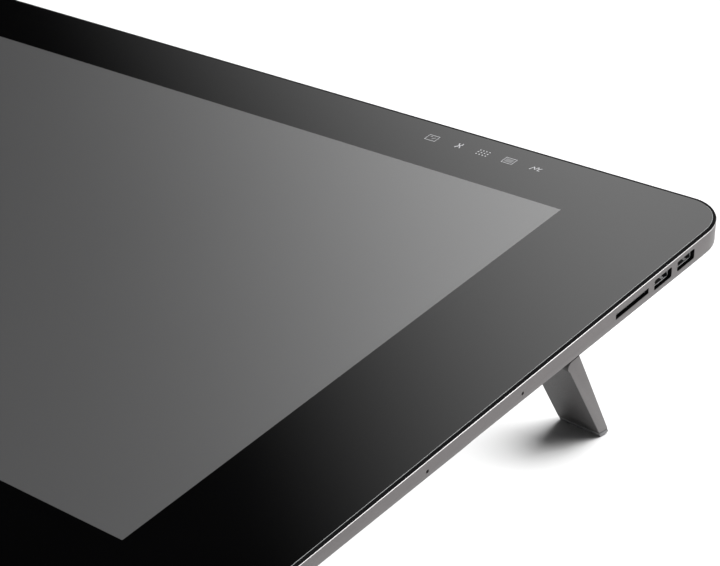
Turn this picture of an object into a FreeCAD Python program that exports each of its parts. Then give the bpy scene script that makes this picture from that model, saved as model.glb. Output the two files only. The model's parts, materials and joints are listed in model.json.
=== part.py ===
import FreeCAD, Part
import math
import os

# A large pen drawing tablet (a pen display) standing on two fold-out rear legs.
#
# Every piece is drawn lying flat: the glass face is the plane z = 0, the middle of the body is at
# x = y = 0, +X is the user's right and +Y is the far edge. stand_up() then tips the whole tablet
# towards the user and sets it on the floor, with the origin under the middle of its box.
# All sizes are in millimetres.

# ---- driving dimensions ---------------------------------------------------------------------------
WIDTH = 667.0                # metal frame, left to right
DEPTH = 394.0                # metal frame, front to rear
CORNER_R = 22.4              # outer corners of the frame
TILT_DEG = 11.7              # how far the glass leans towards the user

SCREEN_W = 522.0             # visible picture
SCREEN_H = 294.0
REAR_BORDER = 40.0           # from the picture to the rear edge of the body

GLASS_T = 1.1
PRINT_T = 0.1
TAPE_T = 0.3
LCD_T = 1.6
BACKLIGHT_T = 2.4
DIGITIZER_T = 0.8
CHASSIS_T = 1.0

RIM_OUT = 0.3                # rim gasket stands this far inside the frame's outer edge
RIM_IN = 1.35                # edge of the glass, from the frame's outer edge
FRAME_LIP = -0.95            # top edge of the frame, just below the glass face
FRAME_WALL = 2.0
FRAME_LEDGE = 9.0            # shelf under the glass, from the frame's outer edge
LEDGE_T = 1.5
FRAME_CHAMFER = 0.2

DRAFT_DEG = 7.75             # the frame's walls lean inwards, going down, by this angle
WALL_FOOT_MID = -9.855       # height of the frame's lower edge at the middle of the side
TAPER_DEG = 0.774            # the frame gets thinner towards the user by this angle
COVER_DROP = 7.5             # depth of the back cover below the frame
COVER_T = 2.0
SIDE_SLOPE_W = 7.0           # width of the back cover's sloped rim at the sides, rear and front
REAR_SLOPE_W = 11.0
FRONT_SLOPE_W = 30.0

HOUSING_BOTTOM = -42.0       # flat underside of the rear housing
HOUSING_T = 2.2
HOUSING_TOP_BOX = (-222.0, 222.0, -112.0, 166.0)
HOUSING_LOW_BOX = (-196.0, 196.0, -10.0, 136.0)

HINGE_Y = 69.5               # leg hinge, drawn before the leg is leaned onto the drafted wall
HINGE_Z = -14.4
HINGE_BOSS_R = 2.9
LEG_X = (308.5, 333.5)       # the outer face of the leg is flush with the wall
LEG_BOTTOM = -71.6           # lower front edge of the rubber pad
LEG_FRONT = ((65.5, -11.7), (93.9, LEG_BOTTOM))   # two points on the leg's front edge
LEG_BACK = ((74.9, -11.5), (99.9, LEG_BOTTOM))    # and two on its back edge
LEG_PIN_R = 1.6
LEG_PIN_FIT = 0.05
LEG_PIN_REACH = 20.0         # how far the hinge pin goes into the leg
PAD_T = 2.9                  # rubber pad under each leg
PAD_NECK = 0.5               # height of the groove between the pad and the leg
HEEL_DEG = 4.0               # rise of the pad behind its front strip
BRACKET_GAP = 0.4            # between the leg and the hinge block's ear
BRACKET_EAR_T = 4.0
RECESS_Y = (-1.5, 82.0)      # room for the folded leg
RECESS_TOP = -9.9
RECESS_WALL = 1.0

FOOT_FRONT_Y = -165.0        # rubber bars under the front of the back cover
FOOT_W = 12.0
FOOT_ROUND = 2.5

PORT_Z = -6.44               # middle height of the sockets in the side walls
PORT_RECESS = 2.3            # the sockets sit this far behind the wall's face
LINER_T = 0.2                # black sleeve inside each cutout
USB_Y = (138.5, 156.8)
USB_CUT = (13.8, 5.6)
USB_SHELL = (13.4, 5.4)
USB_SHELL_T = 0.3
USB_DEPTH = 14.0
SD_Y = 114.5
SD_CUT = (25.3, 3.1)
SD_CAGE = (27.6, 5.0, 27.0)
SIDE_SOCKET_Y = (-30.5, 33.8)
SIDE_SOCKET_Z = -6.4
SIDE_SOCKET_R = 0.9

COVER_SCREWS = [(x, y) for x in (-286.0, 0.0, 286.0) for y in (-150.0, 176.0)]
COVER_SCREWS += [(-286.0, 100.0), (286.0, 100.0), (-286.0, -20.0), (286.0, -20.0)]
SCREW_R = 1.4
SCREW_HEAD_R = 3.0

BUTTON_X = 108.0
BUTTON_Z = -6.4
BUTTON_SIZE = (16.0, 4.2)
BUTTON_PROUD = 1.0
BUTTON_FIT = 0.15
BUTTON_TRAVEL = 0.5

MOUNT_Y = 60.0               # middle of the mount plate
MOUNT_PITCH = 100.0
MOUNT_HOLE_R = 2.0
MOUNT_PAD = 122.0            # face of the plate, flush with the housing
MOUNT_FLANGE = 134.0         # flange inside the housing
MOUNT_T = 2.5
POST_PITCH = 112.0

PORT_BAY = (-84.0, 84.0, 122.0, 172.0, -37.0, -21.0)
BAY_WALL = 2.0
BAY_Z = -29.0                # middle height of the rear connectors
PORT_LENGTH = 15.0
# name: width, height, corner radius, x
PORT_SIZES = {
    "power_inlet": (11.0, 11.0, 5.4, 70.0),
    "usb_c_port": (9.0, 3.3, 1.6, 37.0),
    "hdmi_port": (15.0, 5.6, 1.2, 13.0),
    "display_port": (16.2, 5.6, 1.0, -14.0),
    "rear_usb_port": (13.2, 5.8, 0.6, -39.0),
    "headphone_jack": (6.4, 6.4, 3.15, -69.0),
}
# width, height and corner radius of the tongue or centre pin
PORT_TONGUES = {
    "power_inlet": (2.4, 2.4, 1.1),
    "usb_c_port": (6.6, 0.8, 0.3),
    "hdmi_port": (11.6, 1.0, 0.3),
    "display_port": (12.6, 1.2, 0.3),
    "rear_usb_port": (11.1, 1.8, 0.3),
}

BOARD_Z = (-15.6, -14.0)     # main board, bottom and top
PIPE_Z = -22.4
PIPE_R = 2.5

FAN_X = 150.0
FAN_Y = 72.0
FAN_SIZE = 70.0
FAN_Z = (-31.0, -20.0)
ROTOR_R = 27.0
BLADES = 13

# ---- worked-out dimensions ------------------------------------------------------------------------
HALF_W = WIDTH / 2
HALF_D = DEPTH / 2
SCREEN_Y1 = HALF_D - REAR_BORDER
SCREEN_Y0 = SCREEN_Y1 - SCREEN_H
PRINT_TOP = -GLASS_T
STACK_TOP = -GLASS_T - PRINT_T
FRAME_TOP = STACK_TOP - TAPE_T
LCD_BOTTOM = STACK_TOP - LCD_T
BACKLIGHT_BOTTOM = LCD_BOTTOM - BACKLIGHT_T
DIGITIZER_BOTTOM = BACKLIGHT_BOTTOM - DIGITIZER_T
CHASSIS_BOTTOM = DIGITIZER_BOTTOM - CHASSIS_T
TILT = math.radians(TILT_DEG)
DRAFT = math.tan(math.radians(DRAFT_DEG))
TAPER = math.tan(math.radians(TAPER_DEG))
COVER_SEAM = 0.05            # the cover's top edge stands this far inside the foot of the walls
LEG_HEAD_Z = HINGE_Z + HINGE_BOSS_R                # flat top of the leg
RECESS_X = (LEG_X[0] - BRACKET_GAP - BRACKET_EAR_T - 0.2, LEG_X[1] + 12)
RECESS_SKIN_X = HALF_W - FRAME_WALL - 0.2
FLOOR = LEG_FRONT[1][0] * math.sin(TILT) + LEG_BOTTOM * math.cos(TILT)
FOOT_BOTTOM_Z = ((FLOOR + FOOT_ROUND - (FOOT_FRONT_Y + FOOT_ROUND) * math.sin(TILT))
                 / math.cos(TILT) - FOOT_ROUND)


def vec(x, y, z):
    return FreeCAD.Vector(x, y, z)


# ---- shape helpers --------------------------------------------------------------------------------
def block(x0, x1, y0, y1, z0, z1):
    return Part.makeBox(x1 - x0, y1 - y0, z1 - z0, vec(x0, y0, z0))


def rounded_wire(x0, x1, y0, y1, r, z, narrowing=0.0):
    """A rectangle with round corners in the plane z, as four lines and four arcs.

    The two sides lean together towards the rear: each rear corner moves in by the narrowing.
    """
    def spot(x, y):
        share = (y - y0) / (y1 - y0) * narrowing
        return vec(x + share if x < (x0 + x1) / 2 else x - share, y, z)

    k = r * (1 - math.sqrt(0.5))
    starts = [(x0 + r, y0), (x1, y0 + r), (x1 - r, y1), (x0, y1 - r)]
    ends = [(x1 - r, y0), (x1, y1 - r), (x0 + r, y1), (x0, y0 + r)]
    mids = [(x1 - k, y0 + k), (x1 - k, y1 - k), (x0 + k, y1 - k), (x0 + k, y0 + k)]
    edges = []
    for i in range(4):
        line_end = spot(*ends[i])
        edges.append(Part.LineSegment(spot(*starts[i]), line_end).toShape())
        edges.append(Part.Arc(line_end, spot(*mids[i]), spot(*starts[(i + 1) % 4])).toShape())
    return Part.Wire(edges)


def rounded_block(x0, x1, y0, y1, r, z0, z1):
    return Part.Face(rounded_wire(x0, x1, y0, y1, r, z0)).extrude(vec(0, 0, z1 - z0))


def outline_wire(inset, z):
    """The body's outline, moved inwards by inset."""
    return rounded_wire(-HALF_W + inset, HALF_W - inset, -HALF_D + inset, HALF_D - inset,
                        CORNER_R - inset, z)


def outline_block(inset, z0, z1):
    return Part.Face(outline_wire(inset, z0)).extrude(vec(0, 0, z1 - z0))


def loft(wire_a, wire_b):
    return Part.makeLoft([wire_a, wire_b], True, True)


def drafted_block(inset, top, depth=30.0):
    """The body's outline inside the leaning walls, from the height top downwards."""
    at_top = inset + DRAFT * (FRAME_LIP - top)
    return loft(outline_wire(at_top, top), outline_wire(at_top + DRAFT * depth, top - depth))


def wall_inset(z):
    """How far the outer face of a wall has come in at height z."""
    return DRAFT * (FRAME_LIP - z)


def leaned(shape):
    """Lean a shape drawn against an upright right-hand wall onto the drafted one."""
    moved = shape.copy()
    moved.rotate(vec(HALF_W, 0, FRAME_LIP), vec(0, 1, 0), DRAFT_DEG)
    return moved


def rod(r, start, direction, length):
    return Part.makeCylinder(r, length, start, direction)


def profile_along_x(points, x0, x1):
    """A polygon in the YZ plane, drawn out from x0 to x1."""
    wire = Part.makePolygon([vec(x0, y, z) for y, z in points + points[:1]])
    return Part.Face(wire).extrude(vec(x1 - x0, 0, 0))


def pill(width, height, r, length):
    """A bar of rounded rectangular section, from z = 0 up to length, centred on the Z axis."""
    return rounded_block(-width / 2, width / 2, -height / 2, height / 2, r, 0, length)


def turned(shape, origin, x_dir, y_dir):
    """Carry a shape drawn on the X, Y and Z axes to another place and direction."""
    z_dir = x_dir.cross(y_dir)
    place = FreeCAD.Placement(FreeCAD.Matrix(
        x_dir.x, y_dir.x, z_dir.x, origin.x,
        x_dir.y, y_dir.y, z_dir.y, origin.y,
        x_dir.z, y_dir.z, z_dir.z, origin.z,
        0, 0, 0, 1))
    moved = shape.copy()
    moved.Placement = place.multiply(moved.Placement)
    return moved


def facing_right(shape, x, y, z):
    return turned(shape, vec(x, y, z), vec(0, 1, 0), vec(0, 0, 1))


def facing_rear(shape, x, y, z):
    return turned(shape, vec(x, y, z), vec(-1, 0, 0), vec(0, 0, 1))


def mirrored(shape):
    return shape.mirror(vec(0, 0, 0), vec(1, 0, 0))


def both_sides(shape):
    return [shape, mirrored(shape)]


def group(solids):
    return Part.makeCompound(solids)


def joined(first, *others):
    return first.fuse(list(others)).removeSplitter() if others else first


def on_taper(shape):
    """Lean a shape drawn on z = 0 onto the plane of the frame's lower edge."""
    lean = FreeCAD.Placement(vec(0, 0, WALL_FOOT_MID), FreeCAD.Rotation(vec(1, 0, 0), -TAPER_DEG))
    moved = shape.copy()
    moved.Placement = lean.multiply(moved.Placement)
    return moved


def below_taper(offset):
    """Everything lower than the plane of the frame's lower edge moved by offset."""
    return on_taper(block(-400, 400, -300, 300, offset - 80, offset))


def above_taper(offset):
    return on_taper(block(-400, 400, -300, 300, offset, offset + 80))


def under_z(y):
    """Height of the back cover's flat underside at y."""
    return WALL_FOOT_MID - COVER_DROP - y * TAPER


def edge_y(edge, z):
    """The y at height z of a straight edge through two (y, z) points."""
    (y0, z0), (y1, z1) = edge
    return y0 + (y1 - y0) * (z - z0) / (z1 - z0)


def floor_z(y, lift=0.0):
    """Height in the flat drawing of a plane that lies lift above the floor."""
    return (FLOOR + lift - y * math.sin(TILT)) / math.cos(TILT)


# ---- glass and screen -----------------------------------------------------------------------------
def make_cover_glass():
    glass = outline_block(RIM_IN, -GLASS_T, 0)
    top_edges = [e for e in glass.Edges if all(abs(v.Point.z) < 1e-6 for v in e.Vertexes)]
    return glass.makeChamfer(0.15, top_edges)


def make_border_print():
    ring = outline_block(RIM_IN + 0.4, STACK_TOP, PRINT_TOP)
    window = block(-SCREEN_W / 2, SCREEN_W / 2, SCREEN_Y0, SCREEN_Y1, -5, 5)
    return ring.cut(window)


def make_glass_tape():
    ring = outline_block(RIM_IN + 0.4, FRAME_TOP, STACK_TOP)
    return ring.cut(outline_block(FRAME_LEDGE, -5, 5))


def screen_layer(margin, z0, z1):
    return block(-SCREEN_W / 2 - margin, SCREEN_W / 2 + margin,
                 SCREEN_Y0 - margin, SCREEN_Y1 + margin, z0, z1)


def make_lcd_panel():
    return screen_layer(4.0, LCD_BOTTOM, STACK_TOP)


def make_backlight_unit():
    return screen_layer(5.5, BACKLIGHT_BOTTOM, LCD_BOTTOM)


def make_digitizer_board():
    return screen_layer(7.0, DIGITIZER_BOTTOM, BACKLIGHT_BOTTOM)


def make_touch_key_board():
    return block(150, 236, 174, HALF_D - FRAME_LEDGE - 0.5, STACK_TOP - 0.6, STACK_TOP)


def make_rim_gasket():
    """A black band around the glass, almost level with its face and steep on the outside."""
    base = outline_block(RIM_OUT, FRAME_TOP, FRAME_LIP)
    bevel = loft(outline_wire(RIM_OUT, FRAME_LIP), outline_wire(RIM_OUT + 0.2, -0.1))
    return joined(base, bevel).cut(outline_block(RIM_IN, -5, 5))


# ---- metal frame and chassis ----------------------------------------------------------------------
def side_cutouts():
    """Openings of the right-hand wall that its left-hand twin has too."""
    tools = [facing_right(pill(*USB_CUT, 0.9, 8), HALF_W - 6, y, PORT_Z) for y in USB_Y]
    return tools + [leaned(rod(SIDE_SOCKET_R, vec(HALF_W - 4, y, SIDE_SOCKET_Z), vec(1, 0, 0), 6))
                    for y in SIDE_SOCKET_Y]


def card_cutout():
    return facing_right(pill(*SD_CUT, 0.5, 8), HALF_W - 6, SD_Y, PORT_Z)


def make_side_frame():
    body = drafted_block(0, FRAME_LIP)
    top_edges = [e for e in body.Edges if all(abs(v.Point.z - FRAME_LIP) < 1e-6 for v in e.Vertexes)]
    body = body.makeChamfer(FRAME_CHAMFER, top_edges)
    body = body.cut(outline_block(RIM_OUT, FRAME_TOP, 5))
    body = body.cut(drafted_block(FRAME_WALL, FRAME_TOP - LEDGE_T, 40))
    body = body.cut(outline_block(FRAME_LEDGE, -50, 5))
    body = body.cut(below_taper(0))
    for tool in side_cutouts():
        for side in both_sides(tool):
            body = body.cut(side)
    body = body.cut(card_cutout())
    button = pill(BUTTON_SIZE[0] + 2 * BUTTON_FIT, BUTTON_SIZE[1] + 2 * BUTTON_FIT,
                  BUTTON_SIZE[1] / 2, 8)
    return body.cut(facing_rear(button, BUTTON_X, HALF_D - 6, BUTTON_Z))


def make_mid_chassis():
    plate = block(-290, 290, -158, 176, CHASSIS_BOTTOM, DIGITIZER_BOTTOM)
    tabs = []
    inner = FRAME_WALL + wall_inset(CHASSIS_BOTTOM)
    inner_x = HALF_W - inner
    inner_y = HALF_D - inner
    for y in (-120.0, -70.0, 92.0, 168.0):
        for side in both_sides(block(288, inner_x, y - 3, y + 3, CHASSIS_BOTTOM, DIGITIZER_BOTTOM)):
            tabs.append(side)
    for x in (-240.0, -120.0, 0.0, 60.0, 240.0):
        tabs.append(block(x - 6, x + 6, 174, inner_y, CHASSIS_BOTTOM, DIGITIZER_BOTTOM))
        tabs.append(block(x - 6, x + 6, -inner_y, -156, CHASSIS_BOTTOM, DIGITIZER_BOTTOM))
    plate = joined(plate, *tabs)
    for x in (-75.0, 75.0):
        plate = plate.cut(rounded_block(x - 30, x + 30, -90, -50, 6, -20, 0))
    return plate


# ---- back cover -----------------------------------------------------------------------------------
def wall_foot_inset(y):
    """How far the outer face of a side wall has come in at its lower edge."""
    return wall_inset(WALL_FOOT_MID - y * TAPER)


def cover_wire(inset, z):
    """Outline of the back cover's sloped rim at depth z under the frame's lower edge."""
    share = -z / COVER_DROP
    front = wall_foot_inset(-HALF_D) + COVER_SEAM
    rear = wall_foot_inset(HALF_D) + COVER_SEAM
    side = front + share * SIDE_SLOPE_W + inset
    return rounded_wire(-HALF_W + side, HALF_W - side,
                        -HALF_D + front + share * FRONT_SLOPE_W + inset,
                        HALF_D - rear - share * REAR_SLOPE_W - inset,
                        CORNER_R - front - share * 6 - inset, z, rear - front)


def recess_walls():
    """Walls and ceiling of the leg recess, before it is hollowed."""
    return leaned(block(RECESS_X[0] - RECESS_WALL, RECESS_SKIN_X, RECESS_Y[0] - RECESS_WALL,
                        RECESS_Y[1] + RECESS_WALL, -40, RECESS_TOP + RECESS_WALL))


def recess_room():
    return leaned(block(*RECESS_X, *RECESS_Y, -40, RECESS_TOP))


def make_back_cover():
    outer = on_taper(loft(cover_wire(0, 0), cover_wire(0, -COVER_DROP)))
    hollow_low = -COVER_DROP + COVER_T
    inner = on_taper(loft(cover_wire(COVER_T, 0), cover_wire(COVER_T, hollow_low)))
    shell = outer.cut(inner)
    x0, x1, y0, y1 = HOUSING_TOP_BOX
    shell = shell.cut(rounded_block(x0 + 10, x1 - 10, y0 + 12, y1 - 12, 18, -40, 0))
    walls = recess_walls()
    walls = joined(walls.cut(below_taper(0)), walls.common(outer))
    for box, room in zip(both_sides(walls), both_sides(recess_room())):
        shell = joined(shell, box).cut(room)
    for x, y in COVER_SCREWS:
        shell = joined(shell, rod(4.4, vec(x, y, under_z(y) + 1.0), vec(0, 0, 1),
                                  CHASSIS_BOTTOM - under_z(y) - 1.0))
        shell = shell.cut(rod(SCREW_R + 0.1, vec(x, y, -30), vec(0, 0, 1), 40))
        shell = shell.cut(rod(SCREW_HEAD_R + 0.3, vec(x, y, -30), vec(0, 0, 1), 30 + under_z(y) + 2.2))
    return shell


def make_cover_screws():
    screws = []
    for x, y in COVER_SCREWS:
        seat = under_z(y) + 2.2
        shank = rod(SCREW_R, vec(x, y, seat), vec(0, 0, 1), CHASSIS_BOTTOM - seat)
        head = rod(SCREW_HEAD_R, vec(x, y, seat - 1.6), vec(0, 0, 1), 1.6)
        drive = rod(1.2, vec(x, y, seat - 2.6), vec(0, 0, 1), 1.9)
        screws.append(joined(head, shank).cut(drive))
    return group(screws)


# ---- rear housing ---------------------------------------------------------------------------------
def housing_loft(inset):
    x0, x1, y0, y1 = HOUSING_TOP_BOX
    u0, u1, v0, v1 = HOUSING_LOW_BOX
    top = rounded_wire(x0 + inset, x1 - inset, y0 + inset, y1 - inset, 26 - inset, -14.0)
    low = rounded_wire(u0 + inset, u1 - inset, v0 + inset, v1 - inset, 18 - inset,
                       HOUSING_BOTTOM + inset)
    return loft(top, low)


def vent_slots():
    """Intake slots under each fan and exhaust slots through the sloped rear wall."""
    tools = []
    for k in range(-5, 6):
        half = math.sqrt(34.0 ** 2 - (k * 6.0) ** 2)
        slot = rounded_block(FAN_X - half, FAN_X + half, FAN_Y + k * 6.0 - 1.3, FAN_Y + k * 6.0 + 1.3,
                             1.25, HOUSING_BOTTOM - 3, HOUSING_BOTTOM + 5)
        tools += both_sides(slot)
    for k in range(12):
        x = FAN_X - 44 + k * 6.0
        tools += both_sides(block(x, x + 2.6, 132, 172, -36, -22))
    return tools


def bay_cutouts():
    """Holes for the connectors in the front wall of the port bay."""
    wall_y = PORT_BAY[2] - BAY_WALL - 1
    tools = []
    for width, height, r, x in PORT_SIZES.values():
        tools.append(facing_rear(pill(width + 0.2, height + 0.2, r, BAY_WALL + 2), x, wall_y, BAY_Z))
    return tools


def make_rear_housing():
    shell = housing_loft(0).cut(housing_loft(HOUSING_T))
    x0, x1, y0, y1, z0, z1 = PORT_BAY
    walls = block(x0 - BAY_WALL, x1 + BAY_WALL, y0 - BAY_WALL, y1, z0 - BAY_WALL, z1 + BAY_WALL)
    walls = walls.common(housing_loft(0))
    shell = joined(shell, walls).cut(block(x0, x1, y0, y1, z0, z1))
    shell = shell.cut(above_taper(-COVER_DROP))
    half = MOUNT_PAD / 2 + 0.2
    shell = shell.cut(rounded_block(-half, half, MOUNT_Y - half, MOUNT_Y + half, 6.2, -50, -38))
    for tool in vent_slots() + bay_cutouts():
        shell = shell.cut(tool)
    return shell


def make_vent_screens():
    """Fine dust screens laid inside the intake slots."""
    top = HOUSING_BOTTOM + HOUSING_T
    screen = rounded_block(FAN_X - 37, FAN_X + 37, FAN_Y - 36, FAN_Y + 36, 12, top, top + 0.5)
    return group(both_sides(screen))


# ---- mount plate ----------------------------------------------------------------------------------
def plate_corners(pitch):
    return [(sx * pitch / 2, MOUNT_Y + sy * pitch / 2) for sx in (-1, 1) for sy in (-1, 1)]


def make_mount_plate():
    pad = rounded_block(-MOUNT_PAD / 2, MOUNT_PAD / 2, MOUNT_Y - MOUNT_PAD / 2, MOUNT_Y + MOUNT_PAD / 2,
                        6, HOUSING_BOTTOM, HOUSING_BOTTOM + HOUSING_T)
    low = HOUSING_BOTTOM + HOUSING_T
    half = MOUNT_FLANGE / 2
    flange = rounded_block(-half, half, MOUNT_Y - half, MOUNT_Y + half - 10, 6, low, low + MOUNT_T)
    plate = joined(pad, flange)
    for x, y in plate_corners(MOUNT_PITCH):
        plate = plate.cut(rod(MOUNT_HOLE_R, vec(x, y, HOUSING_BOTTOM - 1), vec(0, 0, 1), 10))
    for x, y in plate_corners(POST_PITCH):
        plate = plate.cut(rod(SCREW_R + 0.1, vec(x, y, HOUSING_BOTTOM - 1), vec(0, 0, 1), 10))
        plate = plate.cut(rod(SCREW_HEAD_R + 0.2, vec(x, y, HOUSING_BOTTOM - 1), vec(0, 0, 1), 2.7))
    return plate


def make_mount_posts():
    low = HOUSING_BOTTOM + HOUSING_T + MOUNT_T
    posts = []
    for x, y in plate_corners(POST_PITCH):
        post = rod(4.0, vec(x, y, low), vec(0, 0, 1), CHASSIS_BOTTOM - low)
        posts.append(post.cut(rod(SCREW_R + 0.05, vec(x, y, low - 1), vec(0, 0, 1), 9)))
    return group(posts)


def make_mount_screws():
    screws = []
    for x, y in plate_corners(POST_PITCH):
        seat = HOUSING_BOTTOM + 1.7
        shank = rod(SCREW_R, vec(x, y, seat), vec(0, 0, 1), 9)
        head = rod(SCREW_HEAD_R, vec(x, y, seat - 1.6), vec(0, 0, 1), 1.6)
        screws.append(joined(head, shank).cut(rod(1.2, vec(x, y, seat - 2.6), vec(0, 0, 1), 1.9)))
    return group(screws)


# ---- feet -----------------------------------------------------------------------------------------
def make_front_feet():
    y0, z0, r = FOOT_FRONT_Y, FOOT_BOTTOM_Z, FOOT_ROUND
    bar = block(150, 262, y0, y0 + FOOT_W, z0, -8)
    low_edges = [e for e in bar.Edges if all(abs(v.Point.z - z0) < 1e-6 for v in e.Vertexes)]
    bar = bar.makeFillet(r, low_edges).cut(above_taper(-COVER_DROP))
    return group(both_sides(bar))


def make_rear_feet():
    low = HOUSING_BOTTOM - 2.6
    bar = block(104, 172, 118, 130, low, HOUSING_BOTTOM)
    low_edges = [e for e in bar.Edges if all(abs(v.Point.z - low) < 1e-6 for v in e.Vertexes)]
    return group(both_sides(bar.makeFillet(1.6, low_edges)))


# ---- legs -----------------------------------------------------------------------------------------
def leg_blade(inset):
    """The tapering blade of a leg, leaned onto the drafted wall and not yet cut to length."""
    low = LEG_BOTTOM - 10
    hip_z = HINGE_Z - 1.2
    points = [(HINGE_Y, LEG_HEAD_Z), (edge_y(LEG_BACK, LEG_HEAD_Z) - inset, LEG_HEAD_Z),
              (edge_y(LEG_BACK, low) - inset, low), (edge_y(LEG_FRONT, low) + inset, low),
              (edge_y(LEG_FRONT, hip_z) + inset, hip_z)]
    return leaned(profile_along_x(points, LEG_X[0] + inset, LEG_X[1] - inset))


def make_leg():
    blade = leg_blade(0)
    boss = leaned(rod(HINGE_BOSS_R, vec(LEG_X[0], HINGE_Y, HINGE_Z), vec(1, 0, 0),
                      LEG_X[1] - LEG_X[0]))
    bore = leaned(rod(LEG_PIN_R + LEG_PIN_FIT, vec(LEG_X[0] - 1, HINGE_Y, HINGE_Z), vec(1, 0, 0),
                      LEG_PIN_REACH + 1.3))
    kept = profile_along_x([(0, floor_z(0, PAD_T)), (200, floor_z(200, PAD_T)), (200, 0), (0, 0)],
                           200, 400)
    return joined(blade, boss).cut(bore).common(kept)


def make_leg_foot():
    """The pad stands on the floor with its front strip and rises a little behind it."""
    strip_y = LEG_FRONT[1][0] + 2.8
    back_y = strip_y + 40
    heel_z = floor_z(strip_y) + 40 * math.tan(math.radians(HEEL_DEG))
    neck = PAD_T - PAD_NECK
    pad = [(0, floor_z(0)), (strip_y, floor_z(strip_y)), (back_y, heel_z),
           (back_y, floor_z(back_y, neck)), (0, floor_z(0, neck))]
    groove = [(0, floor_z(0, neck)), (back_y, floor_z(back_y, neck)),
              (back_y, floor_z(back_y, PAD_T)), (0, floor_z(0, PAD_T))]
    return joined(leg_blade(0.1).common(profile_along_x(pad, 200, 400)),
                  leg_blade(0.9).common(profile_along_x(groove, 200, 400)))


def make_leg_pin():
    back = BRACKET_GAP + BRACKET_EAR_T
    return leaned(rod(LEG_PIN_R, vec(LEG_X[0] - back, HINGE_Y, HINGE_Z), vec(1, 0, 0),
                      LEG_PIN_REACH + back))


def make_leg_bracket():
    """The hinge block that carries the pin: a plate under the recess ceiling and one thick ear."""
    x0 = LEG_X[0] - BRACKET_GAP - BRACKET_EAR_T
    x1 = LEG_X[0] - BRACKET_GAP
    base = block(x0, LEG_X[1] - 6, HINGE_Y - 20, HINGE_Y + 8, RECESS_TOP - 0.8, RECESS_TOP)
    ear = block(x0, x1, HINGE_Y - 7, HINGE_Y + 7, HINGE_Z, RECESS_TOP)
    eye = rod(4.0, vec(x0, HINGE_Y, HINGE_Z), vec(1, 0, 0), BRACKET_EAR_T)
    bracket = joined(base, ear, eye)
    return leaned(bracket.cut(rod(LEG_PIN_R, vec(x0 - 1, HINGE_Y, HINGE_Z), vec(1, 0, 0), 40)))


# ---- side ports -----------------------------------------------------------------------------------
def usb_shell():
    tube = pill(*USB_SHELL, 0.7, USB_DEPTH)
    bore = pill(USB_SHELL[0] - 2 * USB_SHELL_T, USB_SHELL[1] - 2 * USB_SHELL_T, 0.45, USB_DEPTH)
    bore.translate(vec(0, 0, 1.2))
    return tube.cut(bore)


def usb_tongue():
    length = USB_DEPTH - 1.2 - 2.0
    tongue = pill(11.1, 1.7, 0.2, length)
    tongue.translate(vec(0, 0.95, 1.2))
    return tongue


def port_front_x():
    """Where the front faces of the side sockets lie."""
    return HALF_W - wall_inset(PORT_Z) - PORT_RECESS


def make_usb_shells():
    return group([facing_right(usb_shell(), port_front_x() - USB_DEPTH, y, PORT_Z) for y in USB_Y])


def make_usb_tongues():
    return group([facing_right(usb_tongue(), port_front_x() - USB_DEPTH, y, PORT_Z) for y in USB_Y])


def port_liner(size, r, y):
    """A black sleeve inside a cutout, ending just behind the leaning face of the wall."""
    length = PORT_RECESS + 2
    sleeve = pill(*size, r, length).cut(pill(size[0] - 2 * LINER_T, size[1] - 2 * LINER_T,
                                             r - LINER_T, length))
    return facing_right(sleeve, port_front_x(), y, PORT_Z).common(drafted_block(0.12, FRAME_LIP))


def make_port_liners():
    return group([port_liner(USB_CUT, 0.9, y) for y in USB_Y])


def make_card_liner():
    return port_liner(SD_CUT, 0.5, SD_Y)


def make_sd_card_slot():
    """The card cage as five plates: two sides, a back wall, a roof and a floor."""
    width, height, depth = SD_CAGE
    wall = (width - SD_CUT[0]) / 2
    roof = (height - SD_CUT[1]) / 2
    x1 = port_front_x() - 0.2
    x0 = x1 - depth
    y0, y1 = SD_Y - width / 2, SD_Y + width / 2
    z0, z1 = PORT_Z - height / 2, PORT_Z + height / 2
    plates = [block(x0, x1, y0, y1, z0, z0 + roof), block(x0, x1, y0, y1, z1 - roof, z1),
              block(x0, x1, y0, y0 + wall, z0 + roof, z1 - roof),
              block(x0, x1, y1 - wall, y1, z0 + roof, z1 - roof),
              block(x0, x0 + 1.5, y0 + wall, y1 - wall, z0 + roof, z1 - roof)]
    return group(plates)


def make_port_board(y0):
    z1 = PORT_Z - USB_SHELL[1] / 2
    return block(HALF_W - 28, port_front_x() - 1.5, y0, 170, z1 - 1.0, z1)


def make_side_nuts():
    """Threaded inserts behind the two small sockets of a side wall."""
    nuts = []
    for y in SIDE_SOCKET_Y:
        start = vec(HALF_W - FRAME_WALL - 3.0, y, SIDE_SOCKET_Z)
        nut = rod(2.2, start, vec(1, 0, 0), 3.0)
        nuts.append(leaned(nut.cut(rod(SIDE_SOCKET_R, start - vec(1, 0, 0), vec(1, 0, 0), 6))))
    return group(nuts)


# ---- power button ---------------------------------------------------------------------------------
def button_wall_y():
    """Inner face of the rear wall at the button's middle."""
    return HALF_D - FRAME_WALL - wall_inset(BUTTON_Z)


def make_power_button():
    proud = FRAME_WALL + BUTTON_PROUD
    cap = pill(*BUTTON_SIZE, BUTTON_SIZE[1] / 2 - 0.01, proud)
    flange = pill(BUTTON_SIZE[0] + 2.4, BUTTON_SIZE[1] + 1.2, 1.0, 0.8)
    cap.translate(vec(0, 0, 0.8))
    button = joined(cap, flange)
    return facing_rear(button, BUTTON_X, button_wall_y() - BUTTON_TRAVEL - 0.9, BUTTON_Z)


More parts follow.
